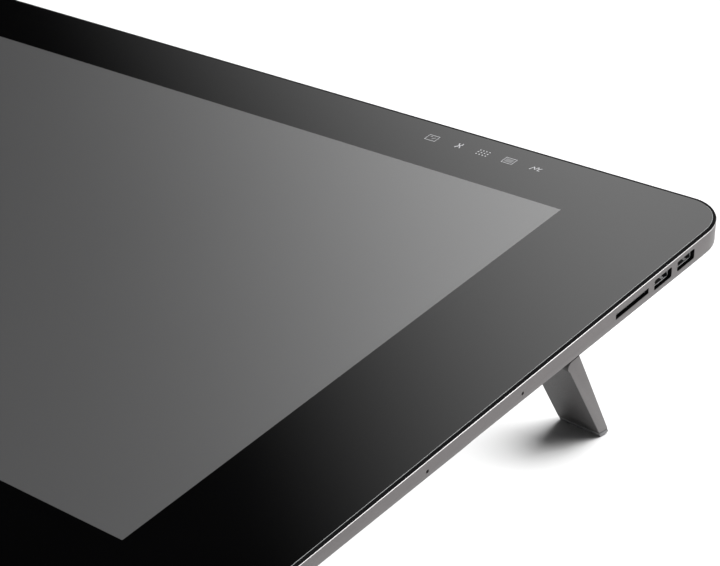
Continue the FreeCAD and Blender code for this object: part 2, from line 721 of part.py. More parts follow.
def make_power_switch():
    y1 = button_wall_y() - 2 * BUTTON_TRAVEL - 0.8
    body = block(BUTTON_X - 3.2, BUTTON_X + 3.2, y1 - 4.5, y1 - 0.8, BUTTON_Z - 2.2, BUTTON_Z + 2.2)
    stem = rod(1.2, vec(BUTTON_X, y1 - 1.0, BUTTON_Z), vec(0, 1, 0), 0.6)
    board = block(BUTTON_X - 14, BUTTON_X + 14, y1 - 5.5, y1 - 4.5, BUTTON_Z - 3.0, BUTTON_Z + 3.0)
    return joined(body, stem, board)


# ---- rear connectors ------------------------------------------------------------------------------
def make_rear_port(name):
    width, height, r, x = PORT_SIZES[name]
    wall = 1.6 if name in ("power_inlet", "headphone_jack") else 0.4
    body = pill(width, height, r, PORT_LENGTH)
    bore = pill(width - 2 * wall, height - 2 * wall, max(r - wall, 0.2), PORT_LENGTH)
    bore.translate(vec(0, 0, 3))
    body = body.cut(bore)
    if name in PORT_TONGUES:
        tongue = pill(*PORT_TONGUES[name], PORT_LENGTH - 1.5)
        body = joined(body, tongue)
    return facing_rear(body, x, PORT_BAY[2] - PORT_LENGTH + 0.3, BAY_Z)


def make_io_board():
    top = BAY_Z + 5.5
    board = block(-80, 80, 94, PORT_BAY[2] - PORT_LENGTH + 0.3, top, top + 1.6)
    for x, y in plate_corners(POST_PITCH):
        board = board.cut(rod(5.0, vec(x, y, top - 5), vec(0, 0, 1), 12))
    return board


# ---- boards and cooling ---------------------------------------------------------------------------
def make_main_board():
    board = block(-104, 104, -2, 122, *BOARD_Z)
    for x, y in plate_corners(POST_PITCH):
        board = board.cut(rod(5.0, vec(x, y, -20), vec(0, 0, 1), 10))
    return board


def make_board_standoffs():
    spots = [(-98, 4), (98, 4), (-98, 116), (98, 116)]
    top = CHASSIS_BOTTOM
    return group([rod(2.6, vec(x, y, BOARD_Z[1]), vec(0, 0, 1), top - BOARD_Z[1]) for x, y in spots])


def make_board_chips():
    """Packages on the main board: x, y, width, depth, height."""
    chips = [(0, 72, 34, 34, 2.6), (-48, 60, 14, 18, 1.4), (48, 60, 14, 18, 1.4),
             (-48, 86, 14, 18, 1.4), (48, 86, 14, 18, 1.4), (-80, 30, 12, 12, 1.2),
             (80, 30, 20, 9, 5.0), (0, 24, 24, 8, 4.0), (-30, 24, 8, 8, 3.0), (34, 24, 9, 9, 3.2)]
    low = BOARD_Z[0]
    return group([block(x - w / 2, x + w / 2, y - d / 2, y + d / 2, low - h, low)
                  for x, y, w, d, h in chips])


def make_heat_spreader():
    top = BOARD_Z[0] - 2.6
    plate = block(-30, 30, FAN_Y - 26, FAN_Y + 26, top - 1.7, top)
    saddle = block(-24, 24, FAN_Y - 7, FAN_Y + 7, PIPE_Z - PIPE_R - 1.2, top - 1.0)
    channel = rod(PIPE_R, vec(-40, FAN_Y, PIPE_Z), vec(1, 0, 0), 80)
    return joined(plate, saddle).cut(channel)


def make_heat_pipe():
    end = FAN_X - FAN_SIZE / 2 - 0.3
    return rod(PIPE_R, vec(-end, FAN_Y, PIPE_Z), vec(1, 0, 0), 2 * end)


def make_fan_housing():
    half = FAN_SIZE / 2
    low, high = FAN_Z
    case = rounded_block(FAN_X - half, FAN_X + half, FAN_Y - half, FAN_Y + half, 5, low, high)
    room = rod(ROTOR_R + 2.5, vec(FAN_X, FAN_Y, low + 1.2), vec(0, 0, 1), high - low - 2.4)
    outlet = block(FAN_X - 26, FAN_X + 26, FAN_Y, FAN_Y + half + 1, low + 1.2, high - 1.2)
    inlet = rod(ROTOR_R - 5, vec(FAN_X, FAN_Y, low - 1), vec(0, 0, 1), 3)
    case = case.cut(room).cut(outlet).cut(inlet)
    spindle = rod(1.2, vec(FAN_X, FAN_Y, low + 3.4), vec(0, 0, 1), high - low - 4.0)
    return joined(case, spindle)


def make_fan_rotor():
    low, high = FAN_Z[0] + 1.7, FAN_Z[1] - 1.7
    rotor = rod(11.0, vec(FAN_X, FAN_Y, low), vec(0, 0, 1), high - low)
    for k in range(BLADES):
        blade = block(FAN_X + 10.0, FAN_X + ROTOR_R, FAN_Y - 0.5, FAN_Y + 0.5, low, high)
        blade.rotate(vec(FAN_X + 10.0, FAN_Y, 0), vec(0, 0, 1), 24)
        blade.rotate(vec(FAN_X, FAN_Y, 0), vec(0, 0, 1), 360.0 * k / BLADES)
        rotor = rotor.fuse(blade)
    rotor = rotor.common(rod(ROTOR_R, vec(FAN_X, FAN_Y, low), vec(0, 0, 1), high - low))
    return rotor.cut(rod(1.25, vec(FAN_X, FAN_Y, FAN_Z[0] + 3.0), vec(0, 0, 1), 20)).removeSplitter()


def make_fin_stacks():
    fins = []
    for k in range(17):
        x = FAN_X - 25 + k * 3.1
        fins += both_sides(block(x, x + 0.4, FAN_Y + FAN_SIZE / 2 + 0.2, FAN_Y + FAN_SIZE / 2 + 12,
                                 FAN_Z[0] + 1, FAN_Z[1] - 1))
    return group(fins)


# ---- standing it up -------------------------------------------------------------------------------
def build_all():
    nodes = {
        "cover_glass": make_cover_glass(),
        "border_print": make_border_print(),
        "glass_tape": make_glass_tape(),
        "lcd_panel": make_lcd_panel(),
        "backlight_unit": make_backlight_unit(),
        "digitizer_board": make_digitizer_board(),
        "touch_key_board": make_touch_key_board(),
        "rim_gasket": make_rim_gasket(),
        "side_frame": make_side_frame(),
        "mid_chassis": make_mid_chassis(),
        "back_cover": make_back_cover(),
        "cover_screws": make_cover_screws(),
        "rear_housing": make_rear_housing(),
        "vent_screens": make_vent_screens(),
        "mount_plate": make_mount_plate(),
        "mount_posts": make_mount_posts(),
        "mount_screws": make_mount_screws(),
        "front_feet": make_front_feet(),
        "rear_feet": make_rear_feet(),
        "sd_card_slot": make_sd_card_slot(),
        "card_liner": make_card_liner(),
        "port_board_right": make_port_board(100),
        "port_board_left": mirrored(make_port_board(126)),
        "power_button": make_power_button(),
        "power_switch": make_power_switch(),
        "io_board": make_io_board(),
        "main_board": make_main_board(),
        "board_standoffs": make_board_standoffs(),
        "board_chips": make_board_chips(),
        "heat_spreader": make_heat_spreader(),
        "heat_pipe": make_heat_pipe(),
        "fin_stacks": make_fin_stacks(),
    }
    pairs = {
        "leg": make_leg(),
        "leg_foot": make_leg_foot(),
        "leg_pin": make_leg_pin(),
        "leg_bracket": make_leg_bracket(),
        "usb_shells": make_usb_shells(),
        "usb_tongues": make_usb_tongues(),
        "port_liners": make_port_liners(),
        "side_nuts": make_side_nuts(),
        "fan_housing": make_fan_housing(),
        "fan_rotor": make_fan_rotor(),
    }
    for name, shape in pairs.items():
        nodes[name + "_right"] = shape
        nodes[name + "_left"] = mirrored(shape)
    for name in PORT_SIZES:
        nodes[name] = make_rear_port(name)
    return nodes


def stand_up(nodes):
    """Tip every piece towards the user, and set the tablet on the floor over the origin."""
    tip = FreeCAD.Placement(vec(0, 0, 0), FreeCAD.Rotation(vec(1, 0, 0), TILT_DEG))
    for shape in nodes.values():
        shape.Placement = tip.multiply(shape.Placement)
    boxes = [nodes[name].optimalBoundingBox(False) for name in ("side_frame", "back_cover")]
    middle_y = (min(b.YMin for b in boxes) + max(b.YMax for b in boxes)) / 2
    move = FreeCAD.Placement(vec(0, -middle_y, -FLOOR), FreeCAD.Rotation())
    for shape in nodes.values():
        shape.Placement = move.multiply(shape.Placement)
    return middle_y


def main():
    os.makedirs("parts", exist_ok=True)
    nodes = build_all()
    middle_y = stand_up(nodes)
    for name, shape in nodes.items():
        shape.exportStep(os.path.join("parts", name + ".step"))
    print("flat drawing to standing frame: turn %.3f deg about X, then move (0, %.4f, %.4f)"
          % (TILT_DEG, -middle_y, -FLOOR))
    print(len(nodes), "nodes")


main()
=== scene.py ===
import json
import math

import bmesh
import bpy
from mathutils import Matrix, Vector

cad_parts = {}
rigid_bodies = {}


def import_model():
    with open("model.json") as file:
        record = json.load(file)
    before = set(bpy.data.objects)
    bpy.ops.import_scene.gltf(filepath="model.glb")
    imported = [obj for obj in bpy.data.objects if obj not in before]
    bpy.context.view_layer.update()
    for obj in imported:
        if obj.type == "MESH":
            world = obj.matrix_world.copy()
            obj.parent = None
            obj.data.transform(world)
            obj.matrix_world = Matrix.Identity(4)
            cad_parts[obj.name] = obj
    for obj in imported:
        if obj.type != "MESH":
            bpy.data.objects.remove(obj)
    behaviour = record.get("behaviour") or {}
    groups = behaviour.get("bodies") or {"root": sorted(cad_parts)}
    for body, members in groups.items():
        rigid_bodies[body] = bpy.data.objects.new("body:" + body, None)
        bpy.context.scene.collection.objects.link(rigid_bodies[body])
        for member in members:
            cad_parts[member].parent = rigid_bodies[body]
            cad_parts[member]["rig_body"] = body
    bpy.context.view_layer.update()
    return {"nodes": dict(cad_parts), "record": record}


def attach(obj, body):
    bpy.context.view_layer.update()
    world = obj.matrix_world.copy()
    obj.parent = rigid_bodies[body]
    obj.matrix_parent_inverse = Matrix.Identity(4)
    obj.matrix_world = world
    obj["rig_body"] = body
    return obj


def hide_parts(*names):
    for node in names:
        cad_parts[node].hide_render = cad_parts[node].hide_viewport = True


# Looks of a pen drawing tablet. Shapes made here are drawn as the part is: lying flat in
# millimetres, the glass face at z = 0, and STAND carries them to the standing tablet in metres.

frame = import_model()
NODES = frame["nodes"]

# ---- the tablet's own numbers --------------------------------------------------------------------
TILT = math.radians(11.7)
STAND = (Matrix.Translation((0, -0.0006439, 0.0510706)) @ Matrix.Rotation(TILT, 4, "X")
         @ Matrix.Scale(0.001, 4))
MIRROR = Matrix.Scale(-1, 4, (1, 0, 0))
HALF_W, HALF_D = 333.5, 197.0
CORNER_R = 22.4
ARC_STEPS = 20                              # sides of each round corner
SCREEN = (-261.0, 261.0, -137.0, 157.0)     # picture area: left, right, front, rear
GLASS_INSET = 1.7                           # from the outline to the edge of the glass
GLASS_BOTTOM = -1.1
PAINTED_SHADE_REACH = 4.0                       # from the rear outline; within it the glass edge is black as painted shade instead of its painted highlight

RIM_OUT = 0.3                               # the black rim's outer side, from the outline
RIM_SEAT = 1.35                             # where the rim's foot ends under the glass
LIP_Z = -0.95                               # top of the metal frame
CHAMFER = 0.2
SHELF_TOP, SHELF_BOTTOM = -1.5, -3.0        # the frame's ledge under rim and glass
SHELF_INSET = 9.0
WALL_T = 2.0
DRAFT = math.tan(math.radians(7.75))        # the wall leans in towards its foot
TAPER = math.tan(math.radians(0.774))       # the wall grows towards the rear
FOOT_MID = -9.855                           # foot of the wall at mid depth

PORT_Z = -6.44
PORT_FRONT_X = HALF_W - DRAFT * (LIP_Z - PORT_Z) - 2.3
USB_Y = (138.5, 156.8)
SD_Y = 114.5
SOCKET_Y = (-30.5, 33.8)
SOCKET_Z = -6.35
BUTTON_X, BUTTON_Z = 108, -6.4
# widths, heights and corner radii of the openings in the wall
USB_OPENING = (13.8, 5.6, 0.9)
CARD_OPENING = (25.3, 3.1, 0.5)
SOCKET_OPENING = (1.79, 1.79, 0.89)
BUTTON_OPENING = (16.3, 4.5, 2.1)

KEY_ROW_Y = 182.6
KEY_LINE = 0.3                              # width of the thin printed lines
PRINT_Z = 0.02

# ---- the studio's numbers: metres, watts, and degrees as seen from the tablet --------------------
PANEL_LEVEL = 2.3
AMBIENT = 0.006
# the white panel's soft edges: where each starts and where it is full
PANEL_LEFT, PANEL_RIGHT = (148.8, 132.2), (5.0, 30.0)
PANEL_LOW, PANEL_HIGH = (14.0, 26.0), (74.0, 60.0)
FLOOR_SIDES = 72
# radius and height of each ring of the floor
FLOOR_RINGS = ((1.0, 0), (2.5, 0), (4.0, 0), (4.6, 0.03), (5.2, 0.13), (5.8, 0.3), (6.3, 0.55),
               (6.7, 0.9), (6.9, 1.3))
CAMERA_PLACE = (0.87042, -0.67211, 0.48435)
CAMERA_AHEAD = (-0.61250, 0.68428, -0.39573)
CAMERA_ROLL = 0.175
CAMERA_LENS, CAMERA_SENSOR = 114.33, 36.0   # millimetres

# ---- materials -----------------------------------------------------------------------------------
MATERIALS = {}


class Nodes:
    """Short names for building one material's node tree."""

    def __init__(self, name):
        self.material = bpy.data.materials.new(name)
        self.material.use_nodes = True
        self.tree = self.material.node_tree
        self.shader = self.tree.nodes["Principled BSDF"]
        self.place = self.add("ShaderNodeTexCoord").outputs["Object"]
        MATERIALS[name] = self.material

    def add(self, kind, **inputs):
        node = self.tree.nodes.new(kind)
        for key, value in inputs.items():
            node.inputs[key.replace("_", " ")].default_value = value
        return node

    def link(self, source, target):
        self.tree.links.new(source, target)

    def noise(self, scale, detail=3.0, rough=0.55, stretch=None):
        node = self.add("ShaderNodeTexNoise", Scale=scale, Detail=detail, Roughness=rough)
        source = self.place
        if stretch:
            mapping = self.add("ShaderNodeMapping")
            mapping.inputs["Scale"].default_value = stretch
            self.link(source, mapping.inputs["Vector"])
            source = mapping.outputs["Vector"]
        self.link(source, node.inputs["Vector"])
        return node.outputs["Fac"]

    def span(self, source, low, high, start=0.3, end=0.7):
        """A number that goes from low to high while the source goes from start to end."""
        node = self.add("ShaderNodeMapRange")
        for index, value in enumerate((start, end, low, high), 1):
            node.inputs[index].default_value = value
        self.link(source, node.inputs[0])
        return node.outputs[0]

    def ramp(self, source, low, high, start=0.3, end=0.7):
        """A colour that goes from low to high while the source goes from start to end."""
        node = self.add("ShaderNodeValToRGB")
        node.color_ramp.elements[0].position = start
        node.color_ramp.elements[1].position = end
        node.color_ramp.elements[0].color = (*low, 1)
        node.color_ramp.elements[1].color = (*high, 1)
        self.link(source, node.inputs["Fac"])
        return node.outputs["Color"]

    def bump(self, source, strength, distance):
        node = self.add("ShaderNodeBump", Strength=strength, Distance=distance)
        self.link(source, node.inputs["Height"])
        self.link(node.outputs["Normal"], self.shader.inputs["Normal"])

    def set(self, **values):
        """Constants that go straight on the shader's sockets."""
        for key, value in values.items():
            self.shader.inputs[key.replace("_", " ")].default_value = value


def shade(color, factor):
    return tuple(min(1.0, c * factor) for c in color)


def plain_finish(name, color, rough, metal=0.0, specular=0.5, mottle=0.06, mottle_scale=60.0,
                 grain_scale=2200.0, grain=0.2, depth=0.00002, rough_swing=0.05, stretch=None):
    """A finish with soft colour mottling, a fine grain and uneven gloss."""
    n = Nodes(name)
    cloud = n.noise(mottle_scale, 4.0)
    fine = n.noise(grain_scale, 2.0, 0.6, stretch)
    n.link(n.ramp(cloud, shade(color, 1 - mottle), shade(color, 1 + mottle)),
           n.shader.inputs["Base Color"])
    n.link(n.span(fine, rough - rough_swing, rough + rough_swing), n.shader.inputs["Roughness"])
    n.bump(fine, grain, depth)
    n.set(Metallic=metal, Specular_IOR_Level=specular)
    return n


def make_materials():
    """Every finish, named after its slot in the record or after the zone it covers."""
    border = plain_finish("border_glass", (0.0008, 0.0008, 0.0009), 0.1, mottle=0.2,
                          mottle_scale=9.0, grain_scale=5200.0, grain=0.05, depth=0.000002,
                          rough_swing=0.015)
    border.set(IOR=1.53)
    screen = plain_finish("screen_glass", (0.052, 0.052, 0.053), 0.3, mottle=0.015,
                          mottle_scale=14.0, grain_scale=5200.0, grain=0.05, depth=0.000002,
                          rough_swing=0.015)
    screen.set(IOR=2.5)
    # painted highlight: the light grey of the glass edge stands in for light caught by the chamfer
    plain_finish("glass_edge_painted_highlight", (0.42, 0.43, 0.43), 0.3, mottle=0.1, grain_scale=3000.0)
    plain_finish("key_ink", (0.5, 0.5, 0.52), 0.35, mottle=0.05, grain_scale=3000.0, grain=0.1)
    plain_finish("key_tint", (0.16, 0.16, 0.165), 0.35, mottle=0.05, grain_scale=3000.0, grain=0.1)
    plain_finish("border_ink", (0.006, 0.006, 0.006), 0.3)
    plain_finish("black_tape", (0.015, 0.015, 0.015), 0.8, grain=0.4)
    plain_finish("screen_cell", (0.05, 0.05, 0.052), 0.35)
    plain_finish("tray_metal", (0.55, 0.55, 0.56), 0.38, metal=1.0, stretch=(1, 40, 1))
    plain_finish("circuit_board", (0.012, 0.07, 0.045), 0.42, mottle=0.25, mottle_scale=300.0)
    plain_finish("rim_plastic", (0.005, 0.005, 0.0052), 0.6, mottle=0.2, grain=0.25, specular=0.02)
    plain_finish("frame_metal", (0.132, 0.122, 0.122), 0.46, metal=0.25, specular=0.45,
                 mottle=0.03, mottle_scale=30.0, grain_scale=2600.0, grain=0.45, depth=0.00003,
                 rough_swing=0.07)
    plain_finish("frame_polish", (0.5, 0.49, 0.49), 0.3, metal=1.0, mottle=0.03, grain=0.12,
                 stretch=(30, 1, 1))
    plain_finish("leg_metal", (0.128, 0.12, 0.12), 0.48, metal=0.25, mottle=0.03,
                 grain_scale=2600.0, grain=0.45, depth=0.00003, rough_swing=0.07)
    # painted shade: a darker copy of the leg finish for the faces that turn away from the light
    plain_finish("leg_painted_shade", (0.056, 0.054, 0.054), 0.6, mottle=0.05, grain_scale=1900.0,
                 grain=0.5, depth=0.00004, specular=0.3)
    plain_finish("cover_plastic", (0.035, 0.035, 0.037), 0.55, mottle=0.08, grain_scale=1500.0,
                 grain=0.6, depth=0.00005, rough_swing=0.08)
    plain_finish("screw_steel", (0.3, 0.3, 0.31), 0.36, metal=1.0, mottle=0.1, mottle_scale=500.0)
    plain_finish("vent_mesh", (0.012, 0.012, 0.012), 0.7, grain=0.6)
    plain_finish("plate_steel", (0.05, 0.05, 0.052), 0.5, metal=0.3, grain_scale=1700.0, grain=0.5,
                 depth=0.00004)
    plain_finish("rubber", (0.2, 0.2, 0.202), 0.75, mottle=0.1, grain_scale=1400.0, grain=0.5,
                 depth=0.00005, specular=0.3)
    plain_finish("port_shell", (0.8, 0.8, 0.81), 0.36, metal=0.35, mottle=0.05)
    make_usb_shell_painted_light()
    plain_finish("port_plastic", (0.012, 0.012, 0.013), 0.5, mottle=0.1)
    plain_finish("gold_contact", (0.85, 0.8, 0.68), 0.34, metal=0.4)
    plain_finish("brass", (0.7, 0.55, 0.28), 0.32, metal=1.0)
    plain_finish("chip_black", (0.02, 0.02, 0.02), 0.55, grain=0.5)
    plain_finish("aluminium", (0.7, 0.7, 0.71), 0.35, metal=1.0, stretch=(1, 1, 30))
    plain_finish("copper", (0.72, 0.4, 0.25), 0.32, metal=1.0, mottle=0.1)
    plain_finish("fan_plastic", (0.022, 0.022, 0.023), 0.45)
    plain_finish("floor_white", (0.62, 0.62, 0.62), 0.9, mottle=0.01, mottle_scale=3.0,
                 grain_scale=300.0, grain=0.05, specular=0.1)


def make_usb_shell_painted_light():
    """Painted highlight on the shell's front rim and painted shade inside it, on both sides of the
    tablet.
    """
    dark, highlight_colour = (0.05, 0.05, 0.052), (0.85, 0.85, 0.86)
    shell = plain_finish("usb_shell", dark, 0.4, metal=0.3, mottle=0.05)
    split = shell.add("ShaderNodeSeparateXYZ")
    shell.link(shell.place, split.inputs[0])
    outward = shell.add("ShaderNodeMath")
    outward.operation = "ABSOLUTE"
    shell.link(split.outputs["X"], outward.inputs[0])
    # painted light: the front rim of the shell gets a painted highlight, everything behind it stays
    # dark as painted shade
    highlight_mask = shell.span(outward.outputs[0], 0.0, 1.0, (PORT_FRONT_X - 0.3) / 1000,
                     (PORT_FRONT_X - 0.15) / 1000)
    shell.link(shell.ramp(highlight_mask, dark, highlight_colour, 0.0, 1.0), shell.shader.inputs["Base Color"])


# ---- mesh helpers --------------------------------------------------------------------------------
def rounded(x0, x1, y0, y1, r, steps):
    """Points of a rectangle with round corners, anticlockwise."""
    points = []
    for cx, cy, turn in ((x1 - r, y0 + r, -90), (x1 - r, y1 - r, 0), (x0 + r, y1 - r, 90),
                         (x0 + r, y0 + r, 180)):
        for i in range(steps + 1):
            a = math.radians(turn + 90 * i / steps)
            points.append((cx + r * math.cos(a), cy + r * math.sin(a)))
    return points


def outline(inset):
    """The tablet's outline moved inwards."""
    return rounded(-HALF_W + inset, HALF_W - inset, -HALF_D + inset, HALF_D - inset,
                   CORNER_R - inset, ARC_STEPS)


def add_ring(bm, points, height):
    """A closed row of vertices; height is a number or a function of y."""
    rise = height if callable(height) else (lambda y: height)
    return [bm.verts.new((x, y, rise(y))) for x, y in points]


def bridge(bm, low, high, index=0):
    """A band of faces between two closed rows of vertices."""
    for i in range(len(low)):
        j = (i + 1) % len(low)
        bm.faces.new((low[i], low[j], high[j], high[i])).material_index = index


def bar(bm, low, high):
    """A solid between two closed rows of points."""
    rings = [[bm.verts.new(p) for p in points] for points in (low, high)]
    bridge(bm, *rings)
    for ring in rings:
        bm.faces.new(ring)


def smooth_shade(mesh, angle):
    mesh.shade_smooth()
    mesh.set_sharp_from_angle(angle=math.radians(angle))


def into_object(name, bm, materials, matrix=STAND, smooth=30):
    """A scene object from a drawn shape; smooth is the angle above which an edge stays sharp."""
    mesh = bpy.data.meshes.new(name)
    bmesh.ops.recalc_face_normals(bm, faces=bm.faces)
    bm.to_mesh(mesh)
    bm.free()
    mesh.transform(matrix)
    if matrix.determinant() < 0:
        mesh.flip_normals()
    obj = bpy.data.objects.new(name, mesh)
    bpy.context.scene.collection.objects.link(obj)
    for material in materials:
        mesh.materials.append(MATERIALS[material])
    if smooth:
        smooth_shade(mesh, smooth)
    return obj


def apply_modifiers(obj):
    """Swap the object's mesh for the one its modifiers give."""
    graph = bpy.context.evaluated_depsgraph_get()
    mesh = bpy.data.meshes.new_from_object(obj.evaluated_get(graph))
    old = obj.data
    obj.modifiers.clear()
    obj.data = mesh
    mesh.name = obj.name
    bpy.data.meshes.remove(old)


def add_bevel(obj, width_mm, angle):
    bevel = obj.modifiers.new("bevel", "BEVEL")
    bevel.width = width_mm / 1000
    bevel.segments = 2
    bevel.limit_method = "ANGLE"
    bevel.angle_limit = math.radians(angle)
    bevel.harden_normals = False
    bevel.use_clamp_overlap = True


def soften(node, width_mm, slot, angle=35):
    """Stand-in for a CAD node with its edges sharper than the angle broken by a small round."""
    source = NODES[node]
    bm = bmesh.new()
    bm.from_mesh(source.data)
    bmesh.ops.remove_doubles(bm, verts=bm.verts, dist=1e-6)
    bmesh.ops.dissolve_limit(bm, angle_limit=math.radians(0.3), verts=bm.verts, edges=bm.edges)
    obj = into_object(node + "_skin", bm, [slot], Matrix.Identity(4), 0)
    add_bevel(obj, width_mm, angle)
    apply_modifiers(obj)
    smooth_shade(obj.data, 40)
    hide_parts(node)
    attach(obj, source["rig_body"])
    return obj


def settle(obj, body, slot, *replaced):
    """Tell the frame what the piece moves with and hides; the slot argument is not used."""
    if replaced:
        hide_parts(*replaced)
    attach(obj, body)
    return obj


def box(bm, x0, x1, y0, y1, z0, z1):
    spots = [(x, y, z) for z in (z0, z1) for y in (y0, y1) for x in (x0, x1)]
    v = [bm.verts.new(p) for p in spots]
    for quad in ((0, 1, 3, 2), (4, 5, 7, 6), (0, 1, 5, 4), (2, 3, 7, 6), (0, 2, 6, 4),
                 (1, 3, 7, 5)):
        bm.faces.new([v[i] for i in quad])


# ---- glass ---------------------------------------------------------------------------------------
def make_glass():
    """The face glass: grey picture area, black printed border and a light edge that is a painted
    highlight, black near the rear as painted shade.
    """
    border, picture, edge, rear_edge_shade = range(4)
    bm = bmesh.new()
    rings = [add_ring(bm, outline(GLASS_INSET + inset), z) for inset, z in (
        (0, GLASS_BOTTOM), (0, -0.12), (0.05, -0.04), (0.16, 0.0), (6.0, 0.0))]
    for k in range(len(rings) - 1):
        bridge(bm, rings[k], rings[k + 1], edge if k in (1, 2) else border)
    x0, x1, y0, y1 = SCREEN
    corners = [bm.verts.new((x, y, 0)) for x, y in ((x1, y0), (x1, y1), (x0, y1), (x0, y0))]
    bm.faces.new(corners).material_index = picture
    inner = rings[-1]
    steps = len(inner) // 4
    for k in range(4):
        start = k * steps + steps // 2
        run = [inner[(start + i) % len(inner)] for i in range(steps + 1)]
        bm.faces.new([corners[(k + 1) % 4], corners[k]] + run)
    bm.faces.new(rings[0])
    # painted shade: edge faces near the rear take the black rim finish in place of the painted
    # highlight
    for face in bm.faces:
        if face.material_index == edge and face.calc_center_median().y > HALF_D - PAINTED_SHADE_REACH:
            face.material_index = rear_edge_shade
    obj = into_object("face_glass", bm, ["border_glass", "screen_glass", "glass_edge_painted_highlight",
                                         "rim_plastic"], smooth=8)
    return settle(obj, "tablet", "etched_glass", "cover_glass")


def make_rim():
    """The black rim: a steep outer side and a nearly level top that meets the glass."""
    bm = bmesh.new()
    rings = [add_ring(bm, outline(inset), z) for inset, z in (
        (RIM_OUT, SHELF_TOP), (RIM_OUT, -0.42), (RIM_OUT + 0.12, -0.22), (RIM_OUT + 0.3, -0.16),
        (GLASS_INSET, -0.1), (GLASS_INSET, GLASS_BOTTOM), (RIM_SEAT, GLASS_BOTTOM),
        (RIM_SEAT, SHELF_TOP))]
    for k in range(len(rings)):
        bridge(bm, rings[k], rings[(k + 1) % len(rings)])
    obj = into_object("black_rim", bm, ["rim_plastic"])
    return settle(obj, "tablet", "rim_plastic", "rim_gasket")


def stroke(bm, points, width, closed=False):
    """A line of even width drawn on the glass."""
    pts = [Vector((*p, 0)) for p in points]
    count = len(pts)
    left, right = [], []
    for i, p in enumerate(pts):
        before = pts[i - 1] if i or closed else None
        after = pts[(i + 1) % count] if i < count - 1 or closed else None
        a = (p - before).normalized() if before is not None else None
        b = (after - p).normalized() if after is not None else None
        way = ((a or b) + (b or a)).normalized()
        side = Vector((-way.y, way.x, 0))
        reach = width / 2 / max(0.4, side.dot(Vector((-(a or b).y, (a or b).x, 0))))
        left.append(bm.verts.new(p + side * reach + Vector((0, 0, PRINT_Z))))
        right.append(bm.verts.new(p - side * reach + Vector((0, 0, PRINT_Z))))
    for i in range(count if closed else count - 1):
        j = (i + 1) % count
        bm.faces.new((left[i], right[i], right[j], left[j]))


def patch(bm, cx, cy, half_w, half_h):
    """A filled rectangle printed on the glass."""
    bm.faces.new([bm.verts.new((cx + half_w * i, cy + half_h * j, PRINT_Z))
                  for i, j in ((-1, -1), (1, -1), (1, 1), (-1, 1))])


def make_touch_keys():
    """Five printed key symbols: display, settings, keyboard, tablet mode and touch switch."""
    display, settings, keyboard, tablet_mode, touch = 158.9, 176.5, 192.4, 209.2, 226.3
    bm = bmesh.new()

    def draw(cx, points, width=KEY_LINE, closed=False):
        stroke(bm, [(cx + x, KEY_ROW_Y + y) for x, y in points], width, closed)

    def screen_frame(cx):
        draw(cx, [(-3.3, -2.4), (3.3, -2.4), (3.3, 2.4), (-3.3, 2.4)], closed=True)

    screen_frame(display)
    draw(display, [(-1.8, 1.0), (-0.4, 1.0)])
    draw(display, [(0.2, -0.9), (1.8, 0.9)])
    draw(settings, [(-1.5, -1.9), (0.5, 0.6)], 0.75)
    draw(settings, [(-1.0, 2.3), (-0.6, 1.0), (0.5, 0.6), (1.5, 1.3), (1.1, 2.6)], 0.55)
    draw(settings, [(0.5, 0.6), (1.7, -1.9)], 0.5)
    for row in range(3):
        for k in range(4):
            patch(bm, keyboard - 3.0 + 2.0 * k, KEY_ROW_Y - 1.9 + 1.9 * row, 0.38, 0.38)
    screen_frame(tablet_mode)
    patch(bm, tablet_mode, KEY_ROW_Y, 2.4, 1.6)
    bm.faces.ensure_lookup_table()
    bm.faces[-1].material_index = 1
    draw(touch, [(-3.2, -1.8), (-1.9, 1.2), (-0.5, -0.8), (0.6, 1.4), (1.6, 0.2), (3.0, 1.2)],
         0.45)
    draw(touch, [(1.6, 0.2), (1.4, -1.1), (2.9, -1.3)], 0.45)
    for face in bm.faces:
        face.normal_update()
        if face.normal.z < 0:
            face.normal_flip()
    obj = into_object("touch_key_print", bm, ["key_ink", "key_tint"], smooth=0)
    return settle(obj, "tablet", "etched_glass")


# ---- frame ---------------------------------------------------------------------------------------
def foot_z(y):
    """Height of the wall's foot, which drops towards the rear."""
    return FOOT_MID - TAPER * y


def wall_ring(bm, extra, above_foot):
    """A ring near the foot of the wall: extra inset from the drafted face, height over the foot."""
    reach = 3.0
    points = []
    for (x0, y0), (x1, y1) in zip(outline(0), outline(reach)):
        share = (DRAFT * (LIP_Z - foot_z(y0) - above_foot) + extra) / reach
        points.append((x0 + (x1 - x0) * share, y0 + (y1 - y0) * share))
    return add_ring(bm, points, lambda y: foot_z(y) + above_foot)


def opening_points(opening, steps):
    width, height, r = opening
    return rounded(-width / 2, width / 2, -height / 2, height / 2, r, steps)


def wall_cutter(name, side, opening, y, z):
    """A bar along X with a rounded section, for cutting a socket into a side wall."""
    bm = bmesh.new()
    points = opening_points(opening, 6)
    bar(bm, *([(x, y + a, z + b) for a, b in points] for x in (HALF_W - 7, HALF_W + 5)))
    return into_object(name, bm, [], STAND if side > 0 else STAND @ MIRROR, 0)


def button_cutter():
    """A bar along Y for the power button's opening in the rear wall."""
    bm = bmesh.new()
    points = opening_points(BUTTON_OPENING, 8)
    bar(bm, *([(BUTTON_X + a, y, BUTTON_Z + b) for a, b in points] for y in (188, 200)))
    return into_object("cut_button", bm, [], STAND, 0)


def cut(obj, tools):
    """Take the tools out of the object, then drop them."""
    for tool in tools:
        mod = obj.modifiers.new("cut", "BOOLEAN")
        mod.operation = "DIFFERENCE"
        mod.solver = "EXACT"
        mod.object = tool
    apply_modifiers(obj)
    for tool in tools:
        bpy.data.objects.remove(tool)


